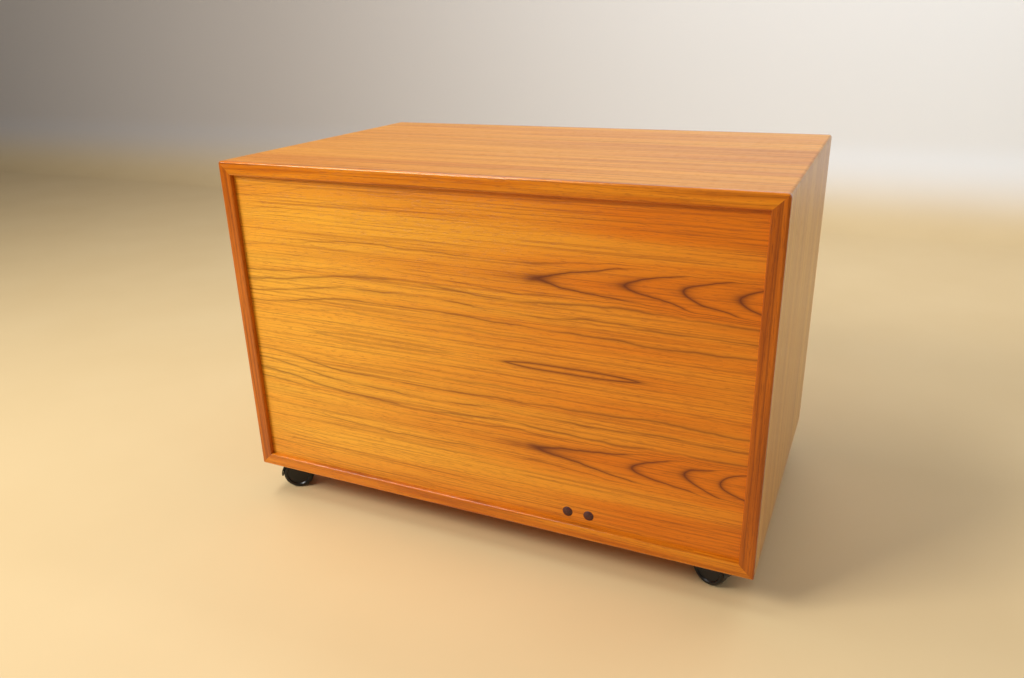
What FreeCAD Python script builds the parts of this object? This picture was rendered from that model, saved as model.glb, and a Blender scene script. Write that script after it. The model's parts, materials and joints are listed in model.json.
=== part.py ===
"""A teak sewing cabinet on four twin-wheel castors.

The case is a mitred box whose back is finished like its sides. Behind the working front are a
roll-out carriage for the sewing machine, a pull-out work leaf above it, and three drawers, the
top one with a sliding tray of thread pegs.

Frame: millimetres, origin on the floor under the middle of the case, +Z up, working front
towards -Y, finished back towards +Y.
"""
import FreeCAD, Part
import math
import os
import re

import Sketcher

DOC = FreeCAD.newDocument("sewing_table")
Vector = FreeCAD.Vector
Rotation = FreeCAD.Rotation
Placement = FreeCAD.Placement
X_AXIS = Vector(1, 0, 0)
Y_AXIS = Vector(0, 1, 0)
Z_AXIS = Vector(0, 0, 1)

TOUCH = 0.01  # two places closer than this are the same place, in millimetres

# Driving dimensions, in millimetres.
DIMENSIONS = {
    # case
    "case_width": 800,
    "case_depth": 500,
    "case_height": 500,
    "castor_rise": 55,
    "wall": 20,
    "top_round": 5,
    "bottom_round": 2,
    "arris": 3,
    "inner_arris": 2,
    "lip_depth": 7.5,
    "back_thick": 8,
    "back_tenon": 6,
    "spline_thick": 4,
    "spline_width": 14,
    "spline_margin": 20,
    "spline_seat": 12.4,
    # plugs over the two lead holes in the back
    "plug_radius": 7.5,
    "plug_dome": 2.2,
    "plug_stem_radius": 5,
    "plug_stem_length": 9,
    "plug_spacing": 31,
    "plug_above_floor": 16,
    # how far a cutting tool runs past the face it opens
    "overshoot": 1,
    # layout of the bays
    "machine_bay": 445,
    "fit_gap": 2,
    "side_gap": 1.5,
    "front_thick": 20,
    "front_setback": 1,
    "dowel_radius": 4,
    "dowel_length": 30,
    "dowel_pitch": 165,
    # drawers
    "top_drawer": 85,
    "middle_drawer": 155,
    "low_drawer": 212,
    "box_gap": 2,
    "box_length": 444,
    "drawer_side": 12,
    "drawer_bottom": 5,
    "bottom_tongue": 5,
    "side_drop": 16,
    "side_lift": 8,
    "bottom_lift": 8,
    "pull_radius": 28,
    "pull_rise": 8,
    "edge_softening": 1,
    # runners and their screws
    "runner_proud": 8,
    "runner_high": 14,
    "carriage_runner_high": 20,
    "runner_length": 430,
    "runner_setback": 4,
    "runner_screw_inset": 52,
    "groove_depth": 6.4,
    "groove_play": 0.4,
    "screw_head_radius": 3.5,
    "screw_head_length": 3,
    "screw_radius": 1.8,
    "screw_bite": 14,
    # machine carriage
    "carriage_side": 14,
    "carriage_side_height": 150,
    "platform_thick": 16,
    "carriage_runner_lift": 75,
    "brace_height": 170,
    "brace_depth": 110,
    # work leaf
    "leaf_thick": 18,
    "leaf_lip_high": 22,
    "leaf_lip_deep": 12,
    "leaf_length": 417,
    "leaf_runner": 12,
    "play": 0.3,
    # thread tray
    "ledge": 8,
    "ledge_lift": 18,
    "tray_length": 180,
    "tray_base": 6,
    "tray_rim": 5,
    "tray_height": 16,
    "peg_radius": 3,
    "peg_height": 32,
    # castors
    "castor_inset_x": 46,
    "castor_inset_y": 55,
    "wheel_radius": 25,
    "wheel_width": 14.5,
    "wheel_gap": 5.5,
    "wheel_edge": 4.5,
    "wheel_inner_edge": 1.5,
    "wheel_land": 1.5,
    "wheel_dish": 1.5,
    "wheel_dome": 0.8,
    "wheel_bore": 11,
    "trail": 13,
    "hood_clearance": 0.7,
    "hood_thick": 2,
    "hood_width": 39,
    "hood_drop": 2,
    "cover_margin": 1,
    "web_width": 10,
    "hub_radius": 11,
    "collar_radius": 8,
    "stem_radius": 4,
    "stem_length": 20,
    "running_play": 0.05,
    "axle_radius": 3,
    "axle_end_gap": 0.5,
    "plate_size": 40,
    "plate_thick": 2,
    "plate_corner": 6,
    "plate_gap": 0.5,
    "plate_screw_inset": 6,
    "castor_screw_bite": 15,
}


def make_sheet():
    """The spreadsheet that every bound size is read from."""
    sheet = DOC.addObject("Spreadsheet::Sheet", "Sizes")
    for row, (name, value) in enumerate(DIMENSIONS.items(), start=1):
        sheet.set(f"A{row}", name)
        sheet.set(f"B{row}", str(value))
        sheet.setAlias(f"B{row}", name)
    DOC.recompute()
    return sheet


SHEET = make_sheet()
NAME_PATTERN = re.compile(r"\b(" + "|".join(DIMENSIONS) + r")\b")


def dim(name):
    """The sheet's value for one driving dimension."""
    return float(SHEET.get(name))


def bind(obj, **expressions):
    """Bind properties to the sheet. x, y and z stand for the placement's base."""
    places = {"x": "Placement.Base.x", "y": "Placement.Base.y", "z": "Placement.Base.z"}
    for prop, text in expressions.items():
        formula = NAME_PATTERN.sub(r"Sizes.\1", str(text))
        obj.setExpression(places.get(prop, prop), formula)


def box(name, x, y, z, length, width, height):
    """A box from its low corner and its sides along X, Y and Z."""
    obj = DOC.addObject("Part::Box", name)
    bind(obj, x=x, y=y, z=z, Length=length, Width=width, Height=height)
    return obj


def cylinder(name, x, y, z, radius, height, rotation=None):
    """A cylinder that starts at a point and runs along Z, or where the rotation turns Z."""
    obj = DOC.addObject("Part::Cylinder", name)
    if rotation:
        obj.Placement.Rotation = rotation
    bind(obj, x=x, y=y, z=z, Radius=radius, Height=height)
    return obj


def cone(name, x, y, z, radius1, radius2, height, rotation=None):
    """A cone that starts at a point and runs along Z, or where the rotation turns Z."""
    obj = DOC.addObject("Part::Cone", name)
    if rotation:
        obj.Placement.Rotation = rotation
    bind(obj, x=x, y=y, z=z, Radius1=radius1, Radius2=radius2, Height=height)
    return obj


def cut(name, base, *tools):
    """The base less every tool."""
    result = base
    for number, tool in enumerate(tools, start=1):
        step = DOC.addObject("Part::Cut", name if number == len(tools) else f"{name}_cut{number}")
        step.Base = result
        step.Tool = tool
        result = step
    return result


def fuse(name, *shapes):
    """One solid from several."""
    obj = DOC.addObject("Part::MultiFuse", name)
    obj.Shapes = list(shapes)
    obj.Refine = True
    return obj


def common(name, base, tool):
    """What two shapes share."""
    obj = DOC.addObject("Part::Common", name)
    obj.Base = base
    obj.Tool = tool
    return obj


def group(name, *solids):
    """Separate solids that are kept together as one sub-part."""
    obj = DOC.addObject("Part::Compound", name)
    obj.Links = list(solids)
    return obj


def soften(name, base, radius, chosen):
    """Round the base's edges that pass the test."""
    DOC.recompute()
    obj = DOC.addObject("Part::Fillet", name)
    obj.Base = base
    edges = enumerate(base.Shape.Edges, start=1)
    obj.Edges = [(number, radius(edge), radius(edge)) for number, edge in edges if chosen(edge)]
    return obj


def middle(edge):
    """The midpoint of an edge."""
    return edge.valueAt((edge.FirstParameter + edge.LastParameter) / 2)


# Heights and places that several sub-parts share, as expressions in the sheet's names.
FLOOR = "(castor_rise + wall)"
CEILING = "(castor_rise + case_height - wall)"
INNER_LEFT = "(wall - case_width / 2)"
INNER_RIGHT = "(case_width / 2 - wall)"
DIVIDER_LEFT = f"({INNER_LEFT} + machine_bay)"
DIVIDER_RIGHT = f"({DIVIDER_LEFT} + wall)"
FRONT = "(-case_depth / 2)"
BACK = "(case_depth / 2)"
PANEL_BACK = f"({BACK} - lip_depth)"
PANEL_FRONT = f"({PANEL_BACK} - back_thick)"
FRONT_REAR = f"({FRONT} + front_setback + front_thick)"


# ---------------------------------------------------------------- case

def case_tube():
    """The four boards and their lippings as one square tube along Y, edges softened."""
    outer = box("case_block", "-case_width / 2", FRONT, "castor_rise",
                "case_width", "case_depth", "case_height")
    top = dim("castor_rise") + dim("case_height")
    bottom = dim("castor_rise")
    front_back = dim("case_depth") / 2

    def outer_radius(edge):
        point = middle(edge)
        if abs(abs(point.y) - front_back) < TOUCH:
            return dim("arris")
        return dim("top_round") if abs(point.z - top) < TOUCH else dim("bottom_round")

    rounded = soften("case_block_rounded", outer, outer_radius, lambda edge: True)
    hollow = box("case_hollow", INNER_LEFT, f"{FRONT} - overshoot", FLOOR,
                 f"{INNER_RIGHT} - {INNER_LEFT}", "case_depth + 2 * overshoot", f"{CEILING} - {FLOOR}")
    tube = cut("case_tube", rounded, hollow)
    inner_x = dim("case_width") / 2 - dim("wall")
    inner_z = (bottom + dim("wall"), top - dim("wall"))

    def inner_rim(edge):
        point = middle(edge)
        on_face = abs(abs(point.y) - front_back) < TOUCH
        on_side = abs(abs(point.x) - inner_x) < TOUCH
        on_level = min(abs(point.z - inner_z[0]), abs(point.z - inner_z[1])) < TOUCH
        return on_face and (on_side or on_level)

    return soften("case_tube_softened", tube, lambda edge: dim("inner_arris"), inner_rim)


def mitre_block(name, side, low_y, high_y):
    """The mitred prism that one wall of the tube fills. side 0 is the top, then clockwise."""
    length = "case_width" if side % 2 == 0 else "case_height"
    block = DOC.addObject("Part::Wedge", name)
    turn = Rotation(Y_AXIS, 90 * side)
    block.Placement.Rotation = turn.multiply(Rotation(X_AXIS, -90))
    outward = turn.multVec(Z_AXIS)
    reach_x = f"{round(outward.x)} * case_width / 2"
    reach_z = f"castor_rise + case_height / 2 + {round(outward.z)} * case_height / 2"
    bind(block, x=reach_x, z=reach_z, Ymin="0 * wall", Ymax="wall",
         Xmin=f"-{length} / 2", Xmax=f"{length} / 2",
         X2min=f"wall - {length} / 2", X2max=f"{length} / 2 - wall",
         Zmin=low_y, Zmax=high_y, Z2min=low_y, Z2max=high_y)
    return block


def mitre_splines():
    """The loose plywood tongue that holds each mitre."""
    tongues = []
    for sign_x in (-1, 1):
        for sign_z in (-1, 1):
            name = f"spline_{len(tongues) + 1}"
            obj = DOC.addObject("Part::Box", name)
            turn = Rotation(Y_AXIS, 45 * sign_x * sign_z)
            obj.Placement.Rotation = turn
            corner_x = f"{sign_x} * (case_width / 2 - spline_seat)"
            corner_z = f"castor_rise + case_height / 2 + {sign_z} * (case_height / 2 - spline_seat)"
            half = turn.multVec(Vector(0.5, 0, 0))
            up = turn.multVec(Vector(0, 0, 0.5))
            bind(obj, Length="spline_width", Height="spline_thick",
                 Width="case_depth - 2 * lip_depth - back_thick - 2 * spline_margin",
                 x=f"{corner_x} - spline_width * {half.x} - spline_thick * {up.x}",
                 y=f"{FRONT} + lip_depth + spline_margin",
                 z=f"{corner_z} - spline_width * {half.z} - spline_thick * {up.z}")
            tongues.append(obj)
    return group("mitre_splines", *tongues)


def plug(number, x):
    """A domed cap on a stem, pushed into its hole from behind the cabinet."""
    axis = Rotation(X_AXIS, -90)
    height = f"{FLOOR} + plug_above_floor"
    sphere_radius = "((plug_radius ^ 2 + plug_dome ^ 2) / (2 * plug_dome))"
    ball = DOC.addObject("Part::Sphere", f"plug_ball_{number}")
    bind(ball, x=x, y=f"{PANEL_BACK} + plug_dome - {sphere_radius}", z=height, Radius=sphere_radius)
    cap = cylinder(f"plug_cap_{number}", x, PANEL_BACK, height, "plug_radius", "plug_dome", axis)
    dome = common(f"plug_dome_{number}", ball, cap)
    stem = cylinder(f"plug_stem_{number}", x, f"{PANEL_BACK} - plug_stem_length", height,
                    "plug_stem_radius", "plug_stem_length", axis)
    return fuse(f"plug_{number}", dome, stem)


def back_plugs():
    """The two plugs, side by side over the middle of the machine bay."""
    centre = f"({INNER_LEFT} + machine_bay / 2)"
    return group("back_plugs", plug(1, f"{centre} - plug_spacing / 2"),
                 plug(2, f"{centre} + plug_spacing / 2"))


def back_panel(plugs):
    """The veneered back, held in a groove behind the lippings."""
    panel = box("back_sheet", f"{INNER_LEFT} - back_tenon", PANEL_FRONT, f"{FLOOR} - back_tenon",
                f"{INNER_RIGHT} - {INNER_LEFT} + 2 * back_tenon", "back_thick",
                f"{CEILING} - {FLOOR} + 2 * back_tenon")
    return panel, cut("back_panel", panel, plugs)


def divider_dowels():
    """Three dowels at each end of the divider."""
    pegs = []
    middle_x = f"{DIVIDER_LEFT} + wall / 2"
    for level in (FLOOR, CEILING):
        for place in (-1, 0, 1):
            pegs.append(cylinder(f"divider_dowel_{len(pegs) + 1}", middle_x,
                                 f"{place} * dowel_pitch", f"{level} - dowel_length / 2",
                                 "dowel_radius", "dowel_length"))
    return group("divider_dowels", *pegs)


# ---------------------------------------------------------------- runners

def screw(name, x, y, z, inward, bite):
    """A countersunk wood screw. Its head's face is at the point and it runs along inward."""
    turn = Rotation(Z_AXIS, inward)
    head = cone(f"{name}_head", x, y, z, "screw_head_radius", "screw_radius",
                "screw_head_length", turn)
    shank = cylinder(f"{name}_shank", x, y, z, "screw_radius", bite, turn)
    return fuse(name, head, shank)


def runner(name, wall_x, into_bay, low_z, high, proud):
    """A hardwood strip on a bay's wall. into_bay is +1 where the bay lies towards +X."""
    low_x = wall_x if into_bay > 0 else f"{wall_x} - {proud}"
    start = f"{FRONT_REAR} + runner_setback"
    strip = box(name, low_x, start, low_z, proud, "runner_length", high)
    screws = []
    face = f"{wall_x} + {into_bay} * {proud}"
    for place in ("runner_screw_inset", "runner_length - runner_screw_inset"):
        screws.append(screw(f"{name}_screw_{len(screws) + 1}", face, f"{start} + {place}",
                            f"{low_z} + {high} / 2", Vector(-into_bay, 0, 0),
                            f"{proud} + screw_bite"))
    return strip, screws


def runner_set(name, left_x, right_x, low_z, high, proud):
    """A pair of runners that face each other across a bay, less their screw holes."""
    pairs = (runner(f"{name}_left", left_x, 1, low_z, high, proud),
             runner(f"{name}_right", right_x, -1, low_z, high, proud))
    screws = pairs[0][1] + pairs[1][1]
    strips = [cut(f"{strip.Name}_drilled", strip, *own) for strip, own in pairs]
    return strips, screws


# ---------------------------------------------------------------- fronts

# The rough sizes that a sketch is first drawn at, before its constraints set the real ones.
ROUGH_WIDTH = 100.0
ROUGH_HEIGHT = 40.0
ROUGH_RADIUS = 20.0
ROUGH_RISE = 60.0


def sketch_on(body, role, name):
    """A sketch on one of the body's own origin planes."""
    sketch = body.newObject("Sketcher::SketchObject", name)
    plane = [item for item in body.Origin.OriginFeatures if item.Role == role][0]
    sketch.AttachmentSupport = [(plane, "")]
    sketch.MapMode = "FlatFace"
    return sketch


def named(sketch, kind, *values, name, formula):
    """A dimension of the sketch, bound to the sheet."""
    number = sketch.addConstraint(Sketcher.Constraint(kind, *values))
    sketch.renameConstraint(number, name)
    bind(sketch, **{f"Constraints.{name}": formula})


def rectangle(sketch, width, height):
    """A rectangle that stands on the sketch's X axis, centred on its Y axis.

    It is first drawn at a rough size. The constraints then give it the size in the sheet.
    """
    half, tall = ROUGH_WIDTH / 2, ROUGH_HEIGHT
    corners = [Vector(-half, 0, 0), Vector(half, 0, 0), Vector(half, tall, 0), Vector(-half, tall, 0)]
    for number in range(4):
        sketch.addGeometry(Part.LineSegment(corners[number], corners[(number + 1) % 4]))
    for number in range(4):
        sketch.addConstraint(Sketcher.Constraint("Coincident", number, 2, (number + 1) % 4, 1))
    for kind, number in (("Horizontal", 2), ("Vertical", 1), ("Vertical", 3)):
        sketch.addConstraint(Sketcher.Constraint(kind, number))
    sketch.addConstraint(Sketcher.Constraint("PointOnObject", 0, 1, -1))
    sketch.addConstraint(Sketcher.Constraint("Symmetric", 0, 1, 0, 2, -2))
    named(sketch, "DistanceX", 0, 1, 0, 2, ROUGH_WIDTH, name="width", formula=width)
    named(sketch, "DistanceY", 1, 1, 1, 2, ROUGH_HEIGHT, name="height", formula=height)


def front_board(name, centre_x, low_z, width, height):
    """A front with a half-moon finger pull in its top edge and softened outer edges."""
    body = DOC.addObject("PartDesign::Body", name)
    outline = sketch_on(body, "XZ_Plane", f"{name}_outline")
    rectangle(outline, width, height)
    board = body.newObject("PartDesign::Pad", f"{name}_board")
    board.Profile = outline
    bind(board, Length="front_thick")
    DOC.recompute()

    face_y = board.Shape.BoundBox.YMin
    rim = [f"Edge{number}" for number, edge in enumerate(board.Shape.Edges, start=1)
           if abs(edge.BoundBox.YMin - face_y) < TOUCH and abs(edge.BoundBox.YMax - face_y) < TOUCH]
    softened = body.newObject("PartDesign::Fillet", f"{name}_softened")
    softened.Base = (board, rim)
    bind(softened, Radius="edge_softening")
    DOC.recompute()

    moon = sketch_on(body, "XZ_Plane", f"{name}_moon")
    moon.addGeometry(Part.Circle(Vector(0, ROUGH_RISE, 0), Z_AXIS, ROUGH_RADIUS))
    moon.addConstraint(Sketcher.Constraint("PointOnObject", 0, 3, -2))
    named(moon, "Radius", 0, ROUGH_RADIUS, name="radius", formula="pull_radius")
    named(moon, "DistanceY", -1, 1, 0, 3, ROUGH_RISE, name="rise", formula=f"{height} + pull_rise")
    pull = body.newObject("PartDesign::Pocket", f"{name}_pull")
    pull.Profile = moon
    pull.Type = "ThroughAll"
    pull.Midplane = True
    DOC.recompute()
    if pull.Shape.Volume >= softened.Shape.Volume:
        raise RuntimeError(f"{name}: the finger pull cuts nothing")
    bind(body, x=centre_x, y=FRONT_REAR, z=low_z)
    return body


# ---------------------------------------------------------------- drawers

def sliding_box(name, left_x, right_x, low_z, front_height, side_height, side, bottom,
                runner_low, runner_high, parts):
    """Front, sides, back and bottom of a drawer or of the machine carriage.

    parts names the four sub-parts: front, sides, back and bottom.
    """
    width = f"({right_x} - {left_x})"
    centre = f"({left_x} + {right_x}) / 2"
    side_low = f"({low_z} + side_lift)"
    outer_left = f"({left_x} + box_gap)"
    outer_right = f"({right_x} - box_gap)"
    inner_left = f"({outer_left} + {side})"
    inner_right = f"({outer_right} - {side})"
    rear = f"({FRONT_REAR} + box_length)"

    sheet = box(f"{name}_sheet", f"{inner_left} - bottom_tongue", f"{FRONT_REAR} - bottom_tongue",
                f"{side_low} + bottom_lift", f"{inner_right} - {inner_left} + 2 * bottom_tongue",
                f"box_length - {side} + 2 * bottom_tongue", bottom)
    sheet.Label = parts[3]
    front = front_board(f"{name}_front_body", centre, low_z, f"{width} - 2 * side_gap", front_height)
    front_grooved = cut(parts[0], front, sheet)

    sides = []
    for hand, low_x, groove_x in (("left", outer_left, outer_left),
                                  ("right", inner_right, f"{outer_right} - groove_depth")):
        board = box(f"{name}_side_{hand}", low_x, FRONT_REAR, side_low, side, "box_length", side_height)
        groove = box(f"{name}_groove_{hand}", groove_x, FRONT_REAR, f"{runner_low} - groove_play",
                     "groove_depth", "box_length + overshoot", f"{runner_high} + 2 * groove_play")
        sides.append(cut(f"{name}_side_{hand}_grooved", board, groove, sheet))
    back_board = box(f"{name}_back_board", inner_left, f"{rear} - {side}", side_low,
                     f"{inner_right} - {inner_left}", side, side_height)
    back = cut(parts[2], back_board, sheet)
    return {parts[0]: front_grooved, parts[1]: group(parts[1], *sides), parts[2]: back,
            parts[3]: sheet}


def drawer_layout():
    """Each drawer's number, low edge and front height, from the lowest up."""
    low = f"({FLOOR} + fit_gap)"
    layout = []
    for number, height in ((3, "low_drawer"), (2, "middle_drawer"), (1, "top_drawer")):
        layout.append((number, low, height))
        low = f"({low} + {height} + fit_gap)"
    return layout


def drawers():
    """The three drawers with their runners. Returns the sub-parts, strips and screws."""
    parts = {}
    strips = []
    screws = []
    for number, low, height in drawer_layout():
        name = f"drawer_{number}"
        runner_low = f"({low} + {height} / 2 - runner_high / 2)"
        names = (f"{name}_front", f"{name}_sides", f"{name}_back", f"{name}_bottom")
        parts.update(sliding_box(name, DIVIDER_RIGHT, INNER_RIGHT, low, height,
                                 f"{height} - side_lift - side_drop", "drawer_side",
                                 "drawer_bottom", runner_low, "runner_high", names))
        pair, pair_screws = runner_set(f"{name}_runner", DIVIDER_RIGHT, INNER_RIGHT, runner_low,
                                       "runner_high", "runner_proud")
        strips += pair
        screws += pair_screws
    return parts, strips, screws


# ---------------------------------------------------------------- thread tray

def thread_tray():
    """Ledges inside the top drawer, the tray that slides on them, and its thread pegs."""
    low = drawer_layout()[-1][1]
    inner_left = f"({DIVIDER_RIGHT} + box_gap + drawer_side)"
    inner_right = f"({INNER_RIGHT} - box_gap - drawer_side)"
    ledge_low = f"({low} + side_lift + ledge_lift)"
    ledges = []
    for hand, x in (("left", inner_left), ("right", f"{inner_right} - ledge")):
        ledges.append(box(f"tray_ledge_{hand}", x, FRONT_REAR, ledge_low, "ledge",
                          "box_length - drawer_side", "ledge"))
    base_z = f"({ledge_low} + ledge + play)"
    tray_left = f"({inner_left} + 2 * play)"
    tray_width = f"({inner_right} - {inner_left} - 4 * play)"
    tray_front = f"({FRONT_REAR} + 2 * play)"
    block = box("tray_block", tray_left, tray_front, base_z, tray_width, "tray_length", "tray_height")
    recess = box("tray_recess", f"{tray_left} + tray_rim", f"{tray_front} + tray_rim",
                 f"{base_z} + tray_base", f"{tray_width} - 2 * tray_rim",
                 "tray_length - 2 * tray_rim", "tray_height")
    pegs = []
    columns, rows = 5, 3
    for column in range(columns):
        for row in range(rows):
            x = f"{tray_left} + {tray_width} * {(column + 0.5) / columns}"
            y = f"{tray_front} + tray_length * {(row + 0.5) / rows}"
            pin = cylinder(f"peg_pin_{column}_{row}", x, y, base_z, "peg_radius",
                           "tray_base + peg_height - peg_radius")
            tip = DOC.addObject("Part::Sphere", f"peg_tip_{column}_{row}")
            bind(tip, x=x, y=y, z=f"{base_z} + tray_base + peg_height - peg_radius",
                 Radius="peg_radius")
            pegs.append(fuse(f"peg_{column}_{row}", pin, tip))
    peg_group = group("thread_pegs", *pegs)
    tray = cut("thread_tray", block, recess, peg_group)
    return {"tray_ledges": group("tray_ledges", *ledges), "thread_tray": tray,
            "thread_pegs": peg_group}


# ---------------------------------------------------------------- machine carriage and leaf

def carriage():
    """The roll-out carriage: a tall front on a low box whose bottom is the machine platform."""
    low = f"({FLOOR} + fit_gap)"
    height = f"({CEILING} - {FLOOR} - leaf_lip_high - 3 * fit_gap)"
    runner_low = f"({low} + carriage_runner_lift)"
    names = ("carriage_front", "carriage_sides", "carriage_back", "carriage_platform")
    parts = sliding_box("carriage", INNER_LEFT, DIVIDER_LEFT, low, height, "carriage_side_height",
                        "carriage_side", "platform_thick", runner_low, "carriage_runner_high", names)
    strips, screws = runner_set("carriage_runner", INNER_LEFT, DIVIDER_LEFT, runner_low,
                                "carriage_runner_high", "runner_proud")
    braces = []
    for hand, x in (("left", f"{INNER_LEFT} + box_gap"),
                    ("right", f"{DIVIDER_LEFT} - box_gap - carriage_side")):
        brace = DOC.addObject("Part::Wedge", f"carriage_brace_{hand}")
        bind(brace, x=x, y=FRONT_REAR, z=f"{low} + side_lift + carriage_side_height",
             Xmin="0 * wall", Xmax="carriage_side", X2min="0 * wall", X2max="carriage_side",
             Ymin="0 * wall", Ymax="brace_depth",
             Zmin="0 * wall", Zmax="brace_height", Z2min="0 * wall", Z2max="wall")
        braces.append(brace)
    parts["carriage_braces"] = group("carriage_braces", *braces)
    return parts, strips, screws


def work_leaf():
    """The pull-out leaf, its solid lipping, and the strips that it slides on."""
    leaf_low = f"({CEILING} - fit_gap - leaf_thick)"
    leaf_left = f"({INNER_LEFT} + side_gap)"
    leaf_width = f"({DIVIDER_LEFT} - {INNER_LEFT} - 2 * side_gap)"
    lip_front = f"({FRONT} + front_setback)"
    board = box("leaf_board", leaf_left, f"{lip_front} + leaf_lip_deep", leaf_low,
                leaf_width, "leaf_length", "leaf_thick")
    lip = box("leaf_lip_block", leaf_left, lip_front, f"{CEILING} - fit_gap - leaf_lip_high",
              leaf_width, "leaf_lip_deep", "leaf_lip_high")
    face_y = dim("front_setback") - dim("case_depth") / 2
    lipping = soften("leaf_lipping", lip, lambda edge: dim("edge_softening"),
                     lambda edge: abs(edge.BoundBox.YMin - face_y) < TOUCH
                     and abs(edge.BoundBox.YMax - face_y) < TOUCH)
    strips, screws = runner_set("leaf_runner_strip", INNER_LEFT, DIVIDER_LEFT,
                                f"({leaf_low} - play - leaf_runner)", "leaf_runner", "leaf_runner")
    return {"leaf_board": board, "leaf_lipping": lipping}, strips, screws


# ---------------------------------------------------------------- castors

CASTORS = (
    # number, side in x, side in y, swivel angle of the trail from +X in degrees
    (1, 1, 1, 28),
    (2, -1, 1, -21),
    (3, -1, -1, -10),
    (4, 1, -1, 12),
)


def swivelled(obj, point, centre_x, centre_y, angle):
    """Place a piece drawn about its own stem axis under its corner, turned by the swivel."""
    turn = Rotation(Z_AXIS, angle)
    local = turn.multiply(obj.Placement.Rotation)
    obj.Placement.Rotation = local
    across, along, up = point
    cosine = math.cos(math.radians(angle))
    sine = math.sin(math.radians(angle))
    bind(obj, x=f"{centre_x} + ({across}) * {cosine} - ({along}) * {sine}",
         y=f"{centre_y} + ({across}) * {sine} + ({along}) * {cosine}", z=up)
    return obj


def drum(name, corner, trail, along, up, radius, width):
    """A cylinder of the given width across the castor, its axis along the wheel axle."""
    centre_x, centre_y, angle = corner
    obj = DOC.addObject("Part::Cylinder", name)
    obj.Placement.Rotation = Rotation(X_AXIS, -90)
    bind(obj, Radius=radius, Height=width)
    return swivelled(obj, (trail, along, up), centre_x, centre_y, angle)


def wheel_profile():
    """Half section of a wheel: a blind bore, rounded edges and a closed, slightly domed face."""
    radius = dim("wheel_radius")
    width = dim("wheel_width")
    bore = dim("axle_radius") + dim("running_play")
    depth = dim("wheel_bore")
    inner = dim("wheel_inner_edge")
    outer = dim("wheel_edge")
    dish = dim("wheel_dish")
    rim = radius - outer - dim("wheel_land")
    face = rim - dish
    floor = width - dish
    crown = (face ** 2 + dim("wheel_dome") ** 2) / (2 * dim("wheel_dome"))
    halfway = crown - math.sqrt(crown ** 2 - (face / 2) ** 2)
    slant = math.sqrt(0.5)

    def at(reach, height):
        return Vector(reach, 0, height)

    edges = [
        Part.LineSegment(at(0, depth), at(bore, depth)),
        Part.LineSegment(at(bore, depth), at(bore, 0)),
        Part.LineSegment(at(bore, 0), at(radius - inner, 0)),
        Part.Arc(at(radius - inner, 0), at(radius - inner + inner * slant, inner - inner * slant),
                 at(radius, inner)),
        Part.LineSegment(at(radius, inner), at(radius, width - outer)),
        Part.Arc(at(radius, width - outer),
                 at(radius - outer + outer * slant, width - outer + outer * slant),
                 at(radius - outer, width)),
        Part.LineSegment(at(radius - outer, width), at(rim, width)),
        Part.LineSegment(at(rim, width), at(face, floor)),
        Part.Arc(at(face, floor), at(face / 2, floor + dim("wheel_dome") - halfway),
                 at(0, floor + dim("wheel_dome"))),
        Part.LineSegment(at(0, floor + dim("wheel_dome")), at(0, depth)),
    ]
    return Part.Face(Part.Wire([edge.toShape() for edge in edges]))


def wheel(name, corner, outward):
    """One of a castor's two wheels. outward is +1 or -1 along the axle."""
    centre_x, centre_y, angle = corner
    obj = DOC.addObject("Part::Feature", name)
    obj.Shape = wheel_profile().revolve(Vector(0, 0, 0), Z_AXIS, 360)
    obj.Placement.Rotation = Rotation(X_AXIS, -90 * outward)
    return swivelled(obj, ("trail", f"{outward} * wheel_gap", "wheel_radius"),
                     centre_x, centre_y, angle)


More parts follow.
